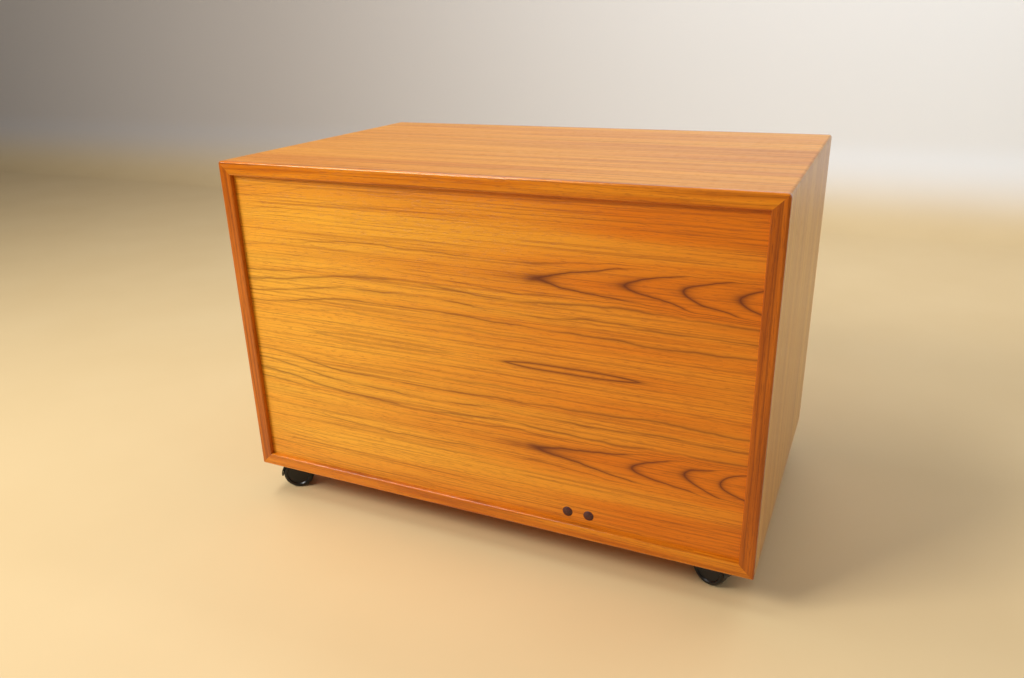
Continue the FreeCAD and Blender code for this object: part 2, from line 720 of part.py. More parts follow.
def castor(number, side_x, side_y, angle):
    """A hooded twin-wheel castor: plate with stem, hood, axle and two wheels."""
    name = f"castor_{number}"
    centre_x = f"{side_x} * (case_width / 2 - castor_inset_x)"
    centre_y = f"{side_y} * (case_depth / 2 - castor_inset_y)"
    corner = (centre_x, centre_y, angle)
    plate_low = "(castor_rise - plate_thick)"

    square = box(f"{name}_square", f"{centre_x} - plate_size / 2", f"{centre_y} - plate_size / 2",
                 plate_low, "plate_size", "plate_size", "plate_thick")
    plate = soften(f"{name}_plate_rounded", square, lambda edge: dim("plate_corner"),
                   lambda edge: edge.BoundBox.ZLength > TOUCH)
    stem = cylinder(f"{name}_stem", centre_x, centre_y, f"{plate_low} - stem_length",
                    "stem_radius", "stem_length + plate_thick / 2")
    screws = []
    for place_x in (-1, 1):
        for place_y in (-1, 1):
            reach = "(plate_size / 2 - plate_screw_inset)"
            screws.append(screw(f"{name}_screw_{len(screws) + 1}", f"{centre_x} + {place_x} * {reach}",
                                f"{centre_y} + {place_y} * {reach}", plate_low, Z_AXIS,
                                "castor_screw_bite"))
    whole_plate = fuse(f"{name}_plate_whole", plate, stem)
    plate_part = cut(f"{name}_plate", whole_plate, *screws)

    hood_radius = "(wheel_radius + hood_clearance + hood_thick)"
    shell = drum(f"{name}_shell", corner, "trail", "-hood_width / 2", "wheel_radius",
                 hood_radius, "hood_width")
    cover = DOC.addObject("Part::Box", f"{name}_cover")
    bind(cover, Length=f"2 * ({hood_radius} + cover_margin)", Width="hood_width + 2 * cover_margin",
         Height=f"{hood_radius} + cover_margin")
    swivelled(cover, (f"trail - {hood_radius} - cover_margin", "-hood_width / 2 - cover_margin",
                      "wheel_radius - hood_drop"), centre_x, centre_y, angle)
    upper = common(f"{name}_upper", shell, cover)
    hub = drum(f"{name}_hub", corner, "trail", "-web_width / 2", "wheel_radius",
               "hub_radius", "web_width")
    collar = cylinder(f"{name}_collar", centre_x, centre_y, f"{plate_low} - plate_gap - stem_length",
                      "collar_radius", "stem_length")
    body = fuse(f"{name}_body", upper, hub, collar)
    rooms = []
    for hand, low in (("a", "web_width / 2"), ("b", "-web_width / 2 - hood_width")):
        rooms.append(drum(f"{name}_room_{hand}", corner, "trail", low, "wheel_radius",
                          "wheel_radius + hood_clearance", "hood_width"))
    stem_hole = cylinder(f"{name}_stem_hole", centre_x, centre_y,
                         f"{plate_low} - stem_length - overshoot", "stem_radius + running_play",
                         "stem_length + 2 * overshoot")
    half_axle = "(wheel_gap + wheel_bore - axle_end_gap)"
    axle = drum(f"{name}_axle", corner, "trail", f"-{half_axle}", "wheel_radius", "axle_radius",
                f"2 * {half_axle}")
    hood = cut(f"{name}_hood", body, *rooms, stem_hole, axle)
    parts = {f"{name}_plate": plate_part, f"{name}_hood": hood, f"{name}_axle": axle}
    for hand, outward in (("a", 1), ("b", -1)):
        parts[f"{name}_wheel_{hand}"] = wheel(f"{name}_wheel_{hand}", corner, outward)
    return parts, screws


# ---------------------------------------------------------------- assembly

def case_parts(wall_screws, castor_screws):
    """The case boards, lippings, back, plugs, splines, divider and dowels."""
    tube = case_tube()
    splines = mitre_splines()
    plugs = back_plugs()
    sheet, panel = back_panel(plugs)
    dowels = divider_dowels()
    board_range = (f"{FRONT} + lip_depth", PANEL_BACK)
    front_range = (FRONT, f"{FRONT} + lip_depth")
    back_range = (PANEL_BACK, BACK)
    parts = {"mitre_splines": splines, "back_plugs": plugs, "back_panel": panel,
             "divider_dowels": dowels}
    fixings = {"case_top": (splines, sheet, dowels),
               "case_side_right": (splines, sheet, wall_screws),
               "case_bottom": (splines, sheet, dowels, castor_screws),
               "case_side_left": (splines, sheet, wall_screws)}
    walls = ("case_top", "case_side_right", "case_bottom", "case_side_left")
    front_lips = []
    back_lips = []
    for side, wall in enumerate(walls):
        block = mitre_block(f"{wall}_block", side, *board_range)
        parts[wall] = cut(wall, common(f"{wall}_whole", tube, block), *fixings[wall])
        front_block = mitre_block(f"{wall}_front_block", side, *front_range)
        front_lips.append(common(f"{wall}_front_lip", tube, front_block))
        back_block = mitre_block(f"{wall}_back_block", side, *back_range)
        back_lips.append(common(f"{wall}_back_lip", tube, back_block))
    parts["front_lipping"] = group("front_lipping", *front_lips)
    parts["back_lipping_rails"] = group("back_lipping_rails", back_lips[0], back_lips[2])
    parts["back_lipping_stiles"] = group("back_lipping_stiles", back_lips[1], back_lips[3])

    divider = box("divider_board", DIVIDER_LEFT, f"{FRONT} + lip_depth", FLOOR, "wall",
                  f"{PANEL_FRONT} - {FRONT} - lip_depth", f"{CEILING} - {FLOOR}")
    parts["divider"] = cut("divider", divider, dowels, wall_screws)
    parts["divider_lipping"] = box("divider_lipping", DIVIDER_LEFT, f"{FRONT} + inner_arris", FLOOR,
                                   "wall", "lip_depth - inner_arris", f"{CEILING} - {FLOOR}")
    return parts


def build():
    """Every sub-part, by its name."""
    parts = {}
    drawer_parts, drawer_strips, drawer_screws = drawers()
    carriage_parts, carriage_strips, carriage_screws = carriage()
    leaf_parts, leaf_strips, leaf_screws = work_leaf()
    for found in (drawer_parts, carriage_parts, leaf_parts, thread_tray()):
        parts.update(found)
    plate_screws = []
    for number, side_x, side_y, angle in CASTORS:
        castor_parts, screws = castor(number, side_x, side_y, angle)
        parts.update(castor_parts)
        plate_screws += screws
    parts["drawer_runners"] = group("drawer_runners", *drawer_strips)
    parts["carriage_runners"] = group("carriage_runners", *carriage_strips)
    parts["leaf_runners"] = group("leaf_runners", *leaf_strips)
    parts["runner_screws"] = group("runner_screws", *drawer_screws, *carriage_screws, *leaf_screws)
    parts["castor_screws"] = group("castor_screws", *plate_screws)
    parts.update(case_parts(parts["runner_screws"], parts["castor_screws"]))
    return parts


def check(parts):
    """Stop if the document or any sub-part is not sound."""
    for obj in DOC.Objects:
        if {"Invalid", "Error"} & set(obj.State):
            raise RuntimeError(f"{obj.Name} failed: {obj.State}")
    for name, obj in parts.items():
        if obj.Shape.isNull() or not obj.Shape.isValid():
            raise RuntimeError(f"{name} has no valid shape")


def export(parts):
    """Write one STEP file for each sub-part."""
    os.makedirs("parts", exist_ok=True)
    for name, obj in sorted(parts.items()):
        obj.Label = name
        obj.Shape.exportStep(f"parts/{name}.step")
        print(f"{name}: {len(obj.Shape.Solids)} solids, {obj.Shape.Volume / 1000:.1f} cm3")


PARTS = build()
DOC.recompute()
check(PARTS)
export(PARTS)
print(len(PARTS), "sub-parts")
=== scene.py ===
"""The looks of a teak sewing cabinet on castors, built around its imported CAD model.

Everything is in metres in the row frame: origin on the floor under the case's middle, +Z up,
the working front towards -Y and the finished back, which the camera sees, towards +Y.
"""
import json
import math

import bpy
from mathutils import Euler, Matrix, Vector


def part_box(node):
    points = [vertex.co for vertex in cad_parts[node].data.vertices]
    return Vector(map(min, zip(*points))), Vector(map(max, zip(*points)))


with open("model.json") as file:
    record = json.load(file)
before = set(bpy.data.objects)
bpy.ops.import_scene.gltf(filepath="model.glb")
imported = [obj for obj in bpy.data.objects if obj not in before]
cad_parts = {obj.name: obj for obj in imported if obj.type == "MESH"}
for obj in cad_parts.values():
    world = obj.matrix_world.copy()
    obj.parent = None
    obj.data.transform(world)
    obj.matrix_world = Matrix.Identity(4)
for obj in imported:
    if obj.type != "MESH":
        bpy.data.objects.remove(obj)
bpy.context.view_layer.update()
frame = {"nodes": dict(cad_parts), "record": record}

# ---------------------------------------------------------------- places, read from the frame

CASE_LOW = Vector(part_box("case_bottom")[0])
CASE_HIGH = Vector(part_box("case_top")[1])
PANEL_LOW, PANEL_HIGH = (Vector(corner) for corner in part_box("back_panel"))
PANEL_MIDDLE_Z = (PANEL_LOW.z + PANEL_HIGH.z) / 2
HALF_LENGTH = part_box("front_lipping")[1][0]
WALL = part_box("case_side_right")[1][0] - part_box("case_side_right")[0][0]


# ---------------------------------------------------------------- node graphs

class Graph:
    """A material's node tree, with short calls that return output sockets."""

    def __init__(self, name):
        self.material = bpy.data.materials.new(name)
        self.material.use_nodes = True
        self.nodes = self.material.node_tree.nodes
        self.links = self.material.node_tree.links
        self.nodes.clear()

    def add(self, kind, inputs=None, **settings):
        """A node with its settings and its inputs, which are values or sockets."""
        node = self.nodes.new(kind)
        for name, value in settings.items():
            setattr(node, name, value)
        for key, value in (inputs or {}).items():
            socket = node.inputs[key]
            if isinstance(value, bpy.types.NodeSocket):
                self.links.new(value, socket)
            else:
                socket.default_value = value
        return node

    def math(self, operation, first, second=0.0, clamp=False):
        node = self.add("ShaderNodeMath", {0: first, 1: second},
                        operation=operation, use_clamp=clamp)
        return node.outputs[0]

    def sum(self, *terms):
        total = terms[0]
        for term in terms[1:]:
            total = self.math("ADD", total, term)
        return total

    def times(self, *factors):
        product = factors[0]
        for factor in factors[1:]:
            product = self.math("MULTIPLY", product, factor)
        return product

    def less(self, first, second):
        return self.math("SUBTRACT", first, second)

    def larger(self, first, second):
        return self.math("MAXIMUM", first, second)

    def size(self, value):
        """The value without its sign."""
        return self.math("ABSOLUTE", value)

    def step(self, value, low, high, start=0.0, end=1.0):
        """Smoothly from start to end while the value goes from low to high."""
        node = self.add("ShaderNodeMapRange", {"Value": value, "From Min": low, "From Max": high,
                                               "To Min": start, "To Max": end},
                        interpolation_type="SMOOTHSTEP")
        return node.outputs[0]

    def ramp(self, value, *stops):
        """A smooth grey ramp through (position, level) stops."""
        node = self.add("ShaderNodeValToRGB", {"Fac": value})
        ramp = node.color_ramp
        while len(ramp.elements) < len(stops):
            ramp.elements.new(0.5)
        for element, (position, level) in zip(ramp.elements, stops):
            element.position = position
            element.color = (level, level, level, 1.0)
        return node.outputs["Color"]

    def place(self):
        """The piece's own coordinates, in metres, as separate X, Y and Z."""
        node = self.add("ShaderNodeTexCoord")
        split = self.add("ShaderNodeSeparateXYZ", {0: node.outputs["Object"]})
        return split.outputs

    def vector(self, x, y, z):
        return self.add("ShaderNodeCombineXYZ", {0: x, 1: y, 2: z}).outputs[0]

    def noise(self, vector, scale=1.0, detail=2.0, roughness=0.5):
        node = self.add("ShaderNodeTexNoise", {"Vector": vector, "Scale": scale,
                                               "Detail": detail, "Roughness": roughness})
        return node.outputs["Fac"]

    def pattern(self, places, rates, seed=0.0, **noise):
        """Noise stretched over two or three places, at a rate per metre along each of them."""
        stretched = [self.times(place, rate) for place, rate in zip(places, rates)]
        if len(stretched) == 2:
            stretched.append(seed)
        else:
            stretched[2] = self.sum(stretched[2], seed)
        return self.noise(self.vector(*stretched), **noise)

    def random(self, value):
        """A steady random number for each whole value."""
        node = self.add("ShaderNodeTexWhiteNoise", {"W": value}, noise_dimensions="1D")
        return node.outputs["Value"]

    def mix(self, share, first, second):
        """A colour between two colours."""
        node = self.add("ShaderNodeMix", {0: share, 6: first, 7: second}, data_type="RGBA")
        return node.outputs[2]

    def finish(self, colour, roughness, relief=None, depth=None, **uniform):
        """The shader. relief is a pattern and depth its height in metres. uniform holds the
        values that are the same all over the surface."""
        shader = self.add("ShaderNodeBsdfPrincipled",
                          {"Base Color": colour, "Roughness": roughness})
        for name, value in uniform.items():
            shader.inputs[name.replace("_", " ")].default_value = value
        if relief is not None:
            bump = self.add("ShaderNodeBump", {"Height": relief, "Distance": depth,
                                               "Strength": 1.0})
            self.links.new(bump.outputs[0], shader.inputs["Normal"])
        out = self.add("ShaderNodeOutputMaterial")
        self.links.new(shader.outputs[0], out.inputs[0])
        return self.material


def rgb(red, green, blue):
    """A screen colour, 0 to 255, as the linear colour that shaders take, by the sRGB curve."""
    def linear(value):
        value /= 255
        return value / 12.92 if value <= 0.04045 else ((value + 0.055) / 1.055) ** 2.4
    return (linear(red), linear(green), linear(blue), 1.0)


# ---------------------------------------------------------------- wood

# A grain says which of the piece's axes runs along it, across it and into the board.
X, Y, Z = 0, 1, 2
LENGTHWISE = (X, Y, Z)
UPRIGHT_ON_END = (Z, Y, X)
LEVEL_ON_FACE = (X, Z, Y)
UPRIGHT_ON_FACE = (Z, X, Y)
FRONT_TO_BACK = (Y, Z, X)

LACQUER = {"Coat_Weight": 0.10, "Coat_Roughness": 0.12, "Specular_IOR_Level": 0.38}
TOP_LACQUER = {"Coat_Weight": 0.03, "Coat_Roughness": 0.15, "Specular_IOR_Level": 0.20}
END_LACQUER = {"Coat_Weight": 0.25, "Coat_Roughness": 0.30, "Specular_IOR_Level": 0.38}
LIPPING_LACQUER = {"Coat_Weight": 0.55, "Coat_Roughness": 0.05, "Specular_IOR_Level": 0.12}

TOP_TEAK = {"light": rgb(230, 156, 44), "middle": rgb(208, 126, 26), "dark": rgb(152, 80, 20)}
END_TEAK = {"light": rgb(216, 158, 62), "middle": rgb(196, 130, 40), "dark": rgb(140, 78, 24)}
BACK_TEAK = {"light": rgb(246, 178, 52), "middle": rgb(222, 118, 4), "dark": rgb(140, 62, 6)}
RAIL_TEAK = {"light": rgb(232, 142, 26), "middle": rgb(200, 102, 4), "dark": rgb(124, 52, 4)}
STILE_TEAK = {"light": rgb(204, 108, 14), "middle": rgb(168, 80, 4), "dark": rgb(88, 34, 4)}
# Painted shade: the dark maroon put on the stiles' inner faces beside the recessed back, where
# shadow falls.
RECESS_SHADE_MAROON = rgb(70, 16, 6)
LINE_BROWN = rgb(96, 34, 8)
BIRCH = (rgb(222, 190, 142), rgb(206, 170, 120))
BEECH = (rgb(218, 176, 130), rgb(200, 154, 108))
RUNNER_WOOD = (rgb(190, 146, 98), rgb(164, 118, 74))
FLECK_BROWN = rgb(150, 104, 62)

# Levels are where a pattern begins to show and where it is full.
STREAKS = {"rates": (3.0, 330.0, 60.0), "detail": 3.0, "roughness": 0.7}
STREAK_LEVELS = (0.46, 0.66)
PORES = {"rates": (70.0, 1300.0, 400.0), "detail": 1.0}
PORE_LEVELS = (0.58, 0.68)
PATCH_LEVELS = (0.3, 0.7)

# How much the patterns darken teak, roughen it and sink into it.
STREAK_SHARE = 0.42
PORE_SHARE = 0.34
STREAK_ROUGHNESS = 0.05
PORE_ROUGHNESS = 0.14
STREAK_RELIEF = 0.35

# A random number from 0 to 1 gives a ring's line its strength: most are faint, a few strong.
LINE_STRENGTHS = ((0.0, 0.10), (0.4, 0.35), (0.7, 0.9), (1.0, 1.0))
FADE_STRENGTH = 0.35

STRAIGHT_DRIFT = {"rates": (2.0, 9.0, 1.0), "detail": 2.0}
STRAIGHT_DRIFT_RINGS = 5.0
STRAIGHT_PATCHES = {"rates": (1.2, 24.0), "detail": 2.0}
RINGS_PER_SEED = 7.3
PATCHES_PER_SEED = 2.1

LIPPING_DRIFT = {"rates": (3.0, 20.0), "detail": 2.0}
LIPPING_DRIFT_RINGS = 4.0
LIPPING_RING_GAP = 0.007
LIPPING_PATCHES = {"rates": (3.5, 60.0), "detail": 3.0}
# Painted shade on the stiles' inner faces beside the back: its strength, the span past the inner
# face over which it fades out, and the span along Y over which it comes in.
RECESS_SHADE_STRENGTH = 0.9
RECESS_EDGE = (0.0002, 0.0012)
RECESS_START = (0.0, 0.01)

PALE_BANDS = {"rates": (2.5, 60.0, 60.0), "detail": 3.0}
PALE_BAND_LEVELS = (0.3, 0.72)
PALE_FLECKS = {"rates": (90.0, 700.0, 700.0), "detail": 1.0}
PALE_FLECK_LEVELS = (0.60, 0.70)
PALE_FLECK_SHARE = 0.3
PALE_ROUGHNESS = 0.48
PALE_FLECK_ROUGHNESS = 0.1
PALE_FLECK_DEPTH = 0.00004


def grain_frame(graph, grain):
    """Coordinates along the grain, across it and into the board, from the piece's own."""
    place = graph.place()
    return [place[axis] for axis in grain]


def fine_grain(graph, along, across, depth, seed):
    """Thin streaks and short dark pores, each between 0 and 1."""
    places = (along, across, depth)
    streaks = graph.pattern(places, seed=seed, **STREAKS)
    pores = graph.pattern(places, seed=seed, **PORES)
    return graph.step(streaks, *STREAK_LEVELS), graph.step(pores, *PORE_LEVELS)


def ring_lines(graph, rings, sharp, soft, flame=None):
    """Thin dark latewood lines where the ring count passes whole numbers, of varied strength.

    Each line is sharp on one side and fades on the other, over these shares of a ring. flame
    raises every line's strength.
    """
    decay = graph.math("DIVIDE", -1.0, sharp)
    part = graph.math("FRACT", rings)
    ring = graph.math("FLOOR", rings)
    strengths = [graph.ramp(graph.random(number), *LINE_STRENGTHS)
                 for number in (ring, graph.sum(ring, 1.0))]
    if flame is not None:
        strengths = [graph.larger(strength, flame) for strength in strengths]
    above = graph.times(graph.math("EXPONENT", graph.times(part, decay)), strengths[0])
    rest = graph.less(1.0, part)
    edge = graph.math("EXPONENT", graph.times(rest, decay))
    fade = graph.times(graph.math("EXPONENT", graph.times(rest, -1.0 / soft)), FADE_STRENGTH)
    below = graph.times(graph.larger(edge, fade), strengths[1])
    return graph.larger(above, below)


def wood_surface(graph, tones, lines, streaks, pores, shade, line_share, finish=LACQUER,
                 gloss=0.32, depth=0.00006, painted_shade=None):
    """Colour, gloss and relief of lacquered teak from its patterns. The last argument, where
    given, is painted shade: it darkens its share of the colour towards maroon.
    """
    base = graph.mix(shade, tones["light"], tones["middle"])
    streaked = graph.mix(graph.times(streaks, STREAK_SHARE), base, tones["dark"])
    lined = graph.mix(graph.times(lines, line_share), streaked, LINE_BROWN)
    colour = graph.mix(graph.times(pores, PORE_SHARE), lined, tones["dark"])
    # Painted shade: the colour darkens towards maroon by the given share.
    if painted_shade is not None:
        colour = graph.mix(painted_shade, colour, RECESS_SHADE_MAROON)
    roughness = graph.sum(gloss, graph.times(pores, PORE_ROUGHNESS),
                          graph.times(streaks, STREAK_ROUGHNESS))
    relief = graph.sum(graph.times(pores, -1.0), graph.times(streaks, -STREAK_RELIEF))
    return graph.finish(colour, roughness, relief, depth, **finish)


def straight_teak(name, grain, tones, seed, ring_gap, line_share, finish=LACQUER):
    """Quarter-cut teak: fine straight grain with faint rings that wander slowly."""
    graph = Graph(name)
    along, across, depth = grain_frame(graph, grain)
    drift = graph.pattern((along, across, depth), seed=seed, **STRAIGHT_DRIFT)
    rings = graph.sum(graph.times(across, 1.0 / ring_gap),
                      graph.times(drift, STRAIGHT_DRIFT_RINGS), seed * RINGS_PER_SEED)
    lines = ring_lines(graph, rings, sharp=0.10, soft=0.22)
    patches = graph.pattern((along, across), seed=seed * PATCHES_PER_SEED, **STRAIGHT_PATCHES)
    streaks, pores = fine_grain(graph, along, across, depth, seed)
    shade = graph.step(patches, *PATCH_LEVELS)
    return wood_surface(graph, tones, lines, streaks, pores, shade, line_share, finish)


# ---------------------------------------------------------------- the back's figure

# Two leaves of veneer are opened like a book about a level line. In each leaf the rings open
# towards one end as nested points about an axis, and run level elsewhere. Distances are "left",
# from the end at +X, "away", from the mirror line, and "from_axis", outwards from the axis.
FLAME_AXIS = 0.125
FLAME_REACH = 0.020
FLAME_EDGE = 0.031
FIRST_TIP = 0.497
TIP_SPACING = 0.125
TIP_CROWDING = 1.635
BOWL_RINGS = 0.95
LEVEL_GAP = 0.019
FINE_GAP = 0.0065

# Two long closed lenses lie on the mirror line: the centre and the reach of each.
LENSES = ((0.250, 0.125), (0.545, 0.105))
LENS_BASE = 0.35
LENS_DEPTH = 0.58
LENS_FADE = 0.024

# The patterns that bend the figure, and how far each one bends it.
SWAY = {"rates": (4.5, 8.0), "seed": 3.7, "detail": 1.0}
SWAY_BEND = 0.026
RIPPLE = {"rates": (24.0, 26.0), "seed": 8.1, "detail": 3.0}
RIPPLE_BEND = 0.0060
OWN_WANDER = {"rates": (7.0, 12.0), "seed": 1.3, "detail": 2.0}
OWN_BEND = 0.009
TIP_WANDER = {"rates": (9.0, 14.0), "seed": 6.6, "detail": 1.0}
TIP_BEND = 0.09
BREAKS = {"rates": (8.0, 55.0), "seed": 2.2, "detail": 2.0}
BACK_PATCHES = {"rates": (1.6, 30.0), "seed": 5.5, "detail": 2.0}
BACK_GRAIN_SEED = 4.4

# A span is where a change begins and ends, and the two values that it joins.
BESIDE_MIRROR = (0.0, 0.05, 0.0, 1.0)
WANDER_SPAN = (0.0, 0.05, 0.10, 1.0)
DROOP_SPAN = (0.02, 0.19, 0.018, 0.0)
BEFORE_FIRST_TIP = (-0.12, 0.0, 0.80, 1.0)
FLAME_BAND = (0.018, 0.030, 1.0, 0.0)
FLAME_START = (0.44, 0.50, 0.0, 1.0)
LENS_BAND = (0.008, 0.014, 1.0, 0.0)
LENS_START = (0.38, 0.46, 0.65, 1.0)
LEVEL_STRENGTH = (0.0, 0.03, 0.75, 0.0)
LINE_SHARPNESS = (0.0, 1.0, 0.078, 0.100)
BETWEEN_STRENGTH = (0.0, 0.03, 0.13, 0.30)
FINE_STRENGTH = (0.024, 0.040, 1.0, 0.45)
MIRROR_QUIET = (0.030, 0.050, 0.22, 1.0)
BREAK_STRENGTH = (0.34, 0.56, 0.25, 1.0)
LINES_BETWEEN = 3.0
BETWEEN_SHIFT = 0.4
# Painted shade: the back's tone darkens towards the -X end, away from the window light.
END_FALLOFF_SHADE = (0.05, 0.75, 0.0, 0.60)
FLAME_WARMTH = (0.36, 0.70, 0.0, 1.0)
FINE_WARMTH = (0.02, 0.10, 0.0, 1.0)
WARMTH_REACH = 0.036
WARMTH_SHARE = 0.18
PATCH_SHARE = 0.36


def bend(graph, places, pattern, reach):
    """How far a pattern moves the figure to either side."""
    return graph.times(graph.less(graph.pattern(places, **pattern), 0.5), reach)


def flat_hill(graph, value, centre, reach):
    """1 near the centre, falling smoothly to 0 past the reach."""
    offset = graph.times(graph.less(value, centre), 1.0 / reach)
    square = graph.times(offset, offset)
    return graph.math("EXPONENT", graph.times(square, square, -1.0))


def figure_wander(graph, left, away, height):
    """How far the figure strays from its smooth shape, a little differently in each leaf."""
    wander = graph.sum(bend(graph, (left, away), SWAY, SWAY_BEND),
                       bend(graph, (left, away), RIPPLE, RIPPLE_BEND),
                       bend(graph, (left, height), OWN_WANDER, OWN_BEND))
    return graph.times(wander, graph.step(away, *WANDER_SPAN))


def flame_rings(graph, left, from_axis, height):
    """The nested points' ring count, which fades to nothing on both sides of the axis."""
    start = graph.sum(FIRST_TIP, bend(graph, (left, height), TIP_WANDER, TIP_BEND))
    past = graph.larger(graph.less(left, start), 0.0)
    rise = graph.math("POWER", graph.times(past, 1.0 / TIP_SPACING), TIP_CROWDING)
    before = graph.step(graph.less(left, start), *BEFORE_FIRST_TIP)
    side = graph.size(from_axis)
    share = graph.step(side, FLAME_REACH, FLAME_EDGE, 1.0, 0.0)
    return graph.times(graph.sum(before, rise), share), side


def back_rings(graph, x, z):
    """The ring count over the back panel, mirrored about its level middle line."""
    left = graph.less(HALF_LENGTH, x)
    height = graph.less(z, PANEL_MIDDLE_Z)
    away = graph.size(height)
    droop = graph.times(graph.step(left, *DROOP_SPAN), graph.step(away, *BESIDE_MIRROR))
    wander = figure_wander(graph, left, away, height)
    from_axis = graph.sum(graph.less(away, FLAME_AXIS), wander, droop)
    flame, side = flame_rings(graph, left, from_axis, height)
    bowl = graph.math("MINIMUM", graph.times(side, 1.0 / FLAME_REACH), 1.0)
    past_edge = graph.larger(graph.less(side, FLAME_EDGE), 0.0)
    outside = graph.math("GREATER_THAN", from_axis, 0.0)
    rings_per_metre = graph.sum(graph.times(outside, 1.0 / FINE_GAP),
                                graph.times(graph.less(1.0, outside), 1.0 / LEVEL_GAP))
    rings = graph.less(flame, graph.sum(graph.times(bowl, bowl, BOWL_RINGS),
                                        graph.times(past_edge, rings_per_metre)))
    lenses = graph.sum(*[flat_hill(graph, left, centre, reach) for centre, reach in LENSES])
    on_line = graph.math("EXPONENT", graph.times(away, -1.0 / LENS_FADE))
    rings = graph.less(rings, graph.times(graph.less(lenses, LENS_BASE), on_line, LENS_DEPTH))
    return rings, left, away, from_axis


def figure_lines(graph, rings, left, away, from_axis):
    """The figure's dark lines: full in the flames and the lenses, weaker and broken elsewhere."""
    in_flame = graph.times(graph.step(graph.size(from_axis), *FLAME_BAND),
                           graph.step(left, *FLAME_START))
    on_lens = graph.times(graph.step(away, *LENS_BAND), graph.step(left, *LENS_START))
    figured = graph.larger(in_flame, on_lens)
    strength = graph.larger(figured, graph.step(from_axis, *LEVEL_STRENGTH))
    sharp = graph.step(figured, *LINE_SHARPNESS)
    lines = ring_lines(graph, rings, sharp, soft=0.24, flame=strength)
    finer = graph.sum(graph.times(rings, LINES_BETWEEN), BETWEEN_SHIFT)
    between = ring_lines(graph, finer, sharp=0.10, soft=0.30)
    between = graph.times(between, graph.step(from_axis, *BETWEEN_STRENGTH),
                          graph.less(1.0, in_flame))
    faint = graph.step(from_axis, *FINE_STRENGTH)
    quiet = graph.larger(graph.step(away, *MIRROR_QUIET), on_lens)
    breaks = graph.pattern((left, away), **BREAKS)
    whole = graph.larger(graph.step(breaks, *BREAK_STRENGTH), figured)
    return graph.times(graph.larger(graph.times(lines, quiet), between), faint, whole)


def figure_shade(graph, x, left, away, from_axis):
    """Which parts of the back are the warmer tone: about the flames, outside them and in patches,
    and towards the -X end, where it is painted shade for the window light falling off across the
    back.
    """
    patches = graph.step(graph.pattern((x, away), **BACK_PATCHES), *PATCH_LEVELS)
    by_flame = graph.times(flat_hill(graph, from_axis, 0.0, WARMTH_REACH),
                           graph.step(left, *FLAME_WARMTH))
    warm = graph.times(graph.larger(by_flame, graph.step(from_axis, *FINE_WARMTH)), WARMTH_SHARE)
    return graph.math("ADD", graph.times(patches, PATCH_SHARE),
                      graph.sum(graph.step(left, *END_FALLOFF_SHADE), warm), clamp=True)


def back_veneer():
    """The book-matched flame figure of the finished back."""
    graph = Graph("teak_back_figure")
    x, y, z = graph.place()
    rings, left, away, from_axis = back_rings(graph, x, z)
    lines = figure_lines(graph, rings, left, away, from_axis)
    streaks, pores = fine_grain(graph, x, away, y, BACK_GRAIN_SEED)
    shade = figure_shade(graph, x, left, away, from_axis)
    return wood_surface(graph, BACK_TEAK, lines, streaks, pores, shade, line_share=0.95)


# ---------------------------------------------------------------- lippings and pale woods

def lipping_surface(graph, along, across, depth, tones, seed, painted_shade=None):
    """The reddish solid teak of the lippings."""
    drift = graph.pattern((along, across), seed=seed, **LIPPING_DRIFT)
    rings = graph.sum(graph.times(across, 1.0 / LIPPING_RING_GAP),
                      graph.times(drift, LIPPING_DRIFT_RINGS))
    lines = ring_lines(graph, rings, sharp=0.12, soft=0.3)
    streaks, pores = fine_grain(graph, along, across, depth, seed)
    patches = graph.pattern((along, across), seed=seed, **LIPPING_PATCHES)
    return wood_surface(graph, tones, lines, streaks, pores, graph.step(patches, *PATCH_LEVELS),
                        line_share=0.5, finish=LIPPING_LACQUER, gloss=0.30, depth=0.00008,
                        painted_shade=painted_shade)


def mitred_lipping(name, tones, seed):
    """Lipping whose grain follows the square's sides: level on rails, upright on stiles."""
    graph = Graph(name)
    x, y, z = graph.place()
    centre_z = (CASE_LOW.z + CASE_HIGH.z) / 2
    half_high = (CASE_HIGH.z - CASE_LOW.z) / 2
    past_x = graph.less(graph.size(x), HALF_LENGTH)
    past_z = graph.less(graph.size(graph.less(z, centre_z)), half_high)
    stile = graph.math("GREATER_THAN", past_x, past_z)
    rail = graph.less(1.0, stile)
    along = graph.sum(graph.times(x, rail), graph.times(z, stile))
    across = graph.sum(graph.times(z, rail), graph.times(x, stile))
    return lipping_surface(graph, along, across, y, tones, seed)


def straight_lipping(name, grain, tones, seed, in_recess=False):
    """Lipping with straight grain. in_recess paints shade on the stiles' faces beside the
    recessed back.
    """
    graph = Graph(name)
    along, across, depth = grain_frame(graph, grain)
    painted_shade = None
    # Painted shade on the stiles' inner faces, which lie in the recess's shadow.
    if in_recess:
        inner = CASE_HIGH.x - WALL
        start, end = RECESS_EDGE
        on_face = graph.step(graph.size(across), inner + start, inner + end, RECESS_SHADE_STRENGTH, 0.0)
        painted_shade = graph.times(on_face, graph.step(depth, *RECESS_START))
    return lipping_surface(graph, along, across, depth, tones, seed, painted_shade)


def pale_wood(name, grain, tones, seed):
    """Sealed beech or birch with faint flecks. tones are its light and its dark."""
    graph = Graph(name)
    places = grain_frame(graph, grain)
    bands = graph.step(graph.pattern(places, seed=seed, **PALE_BANDS), *PALE_BAND_LEVELS)
    flecks = graph.step(graph.pattern(places, seed=seed, **PALE_FLECKS), *PALE_FLECK_LEVELS)
    colour = graph.mix(bands, *tones)
    colour = graph.mix(graph.times(flecks, PALE_FLECK_SHARE), colour, FLECK_BROWN)
    roughness = graph.sum(PALE_ROUGHNESS, graph.times(flecks, PALE_FLECK_ROUGHNESS))
    return graph.finish(colour, roughness, graph.times(flecks, -1.0), PALE_FLECK_DEPTH,
                        Specular_IOR_Level=0.4)


# ---------------------------------------------------------------- castors, plugs and metal

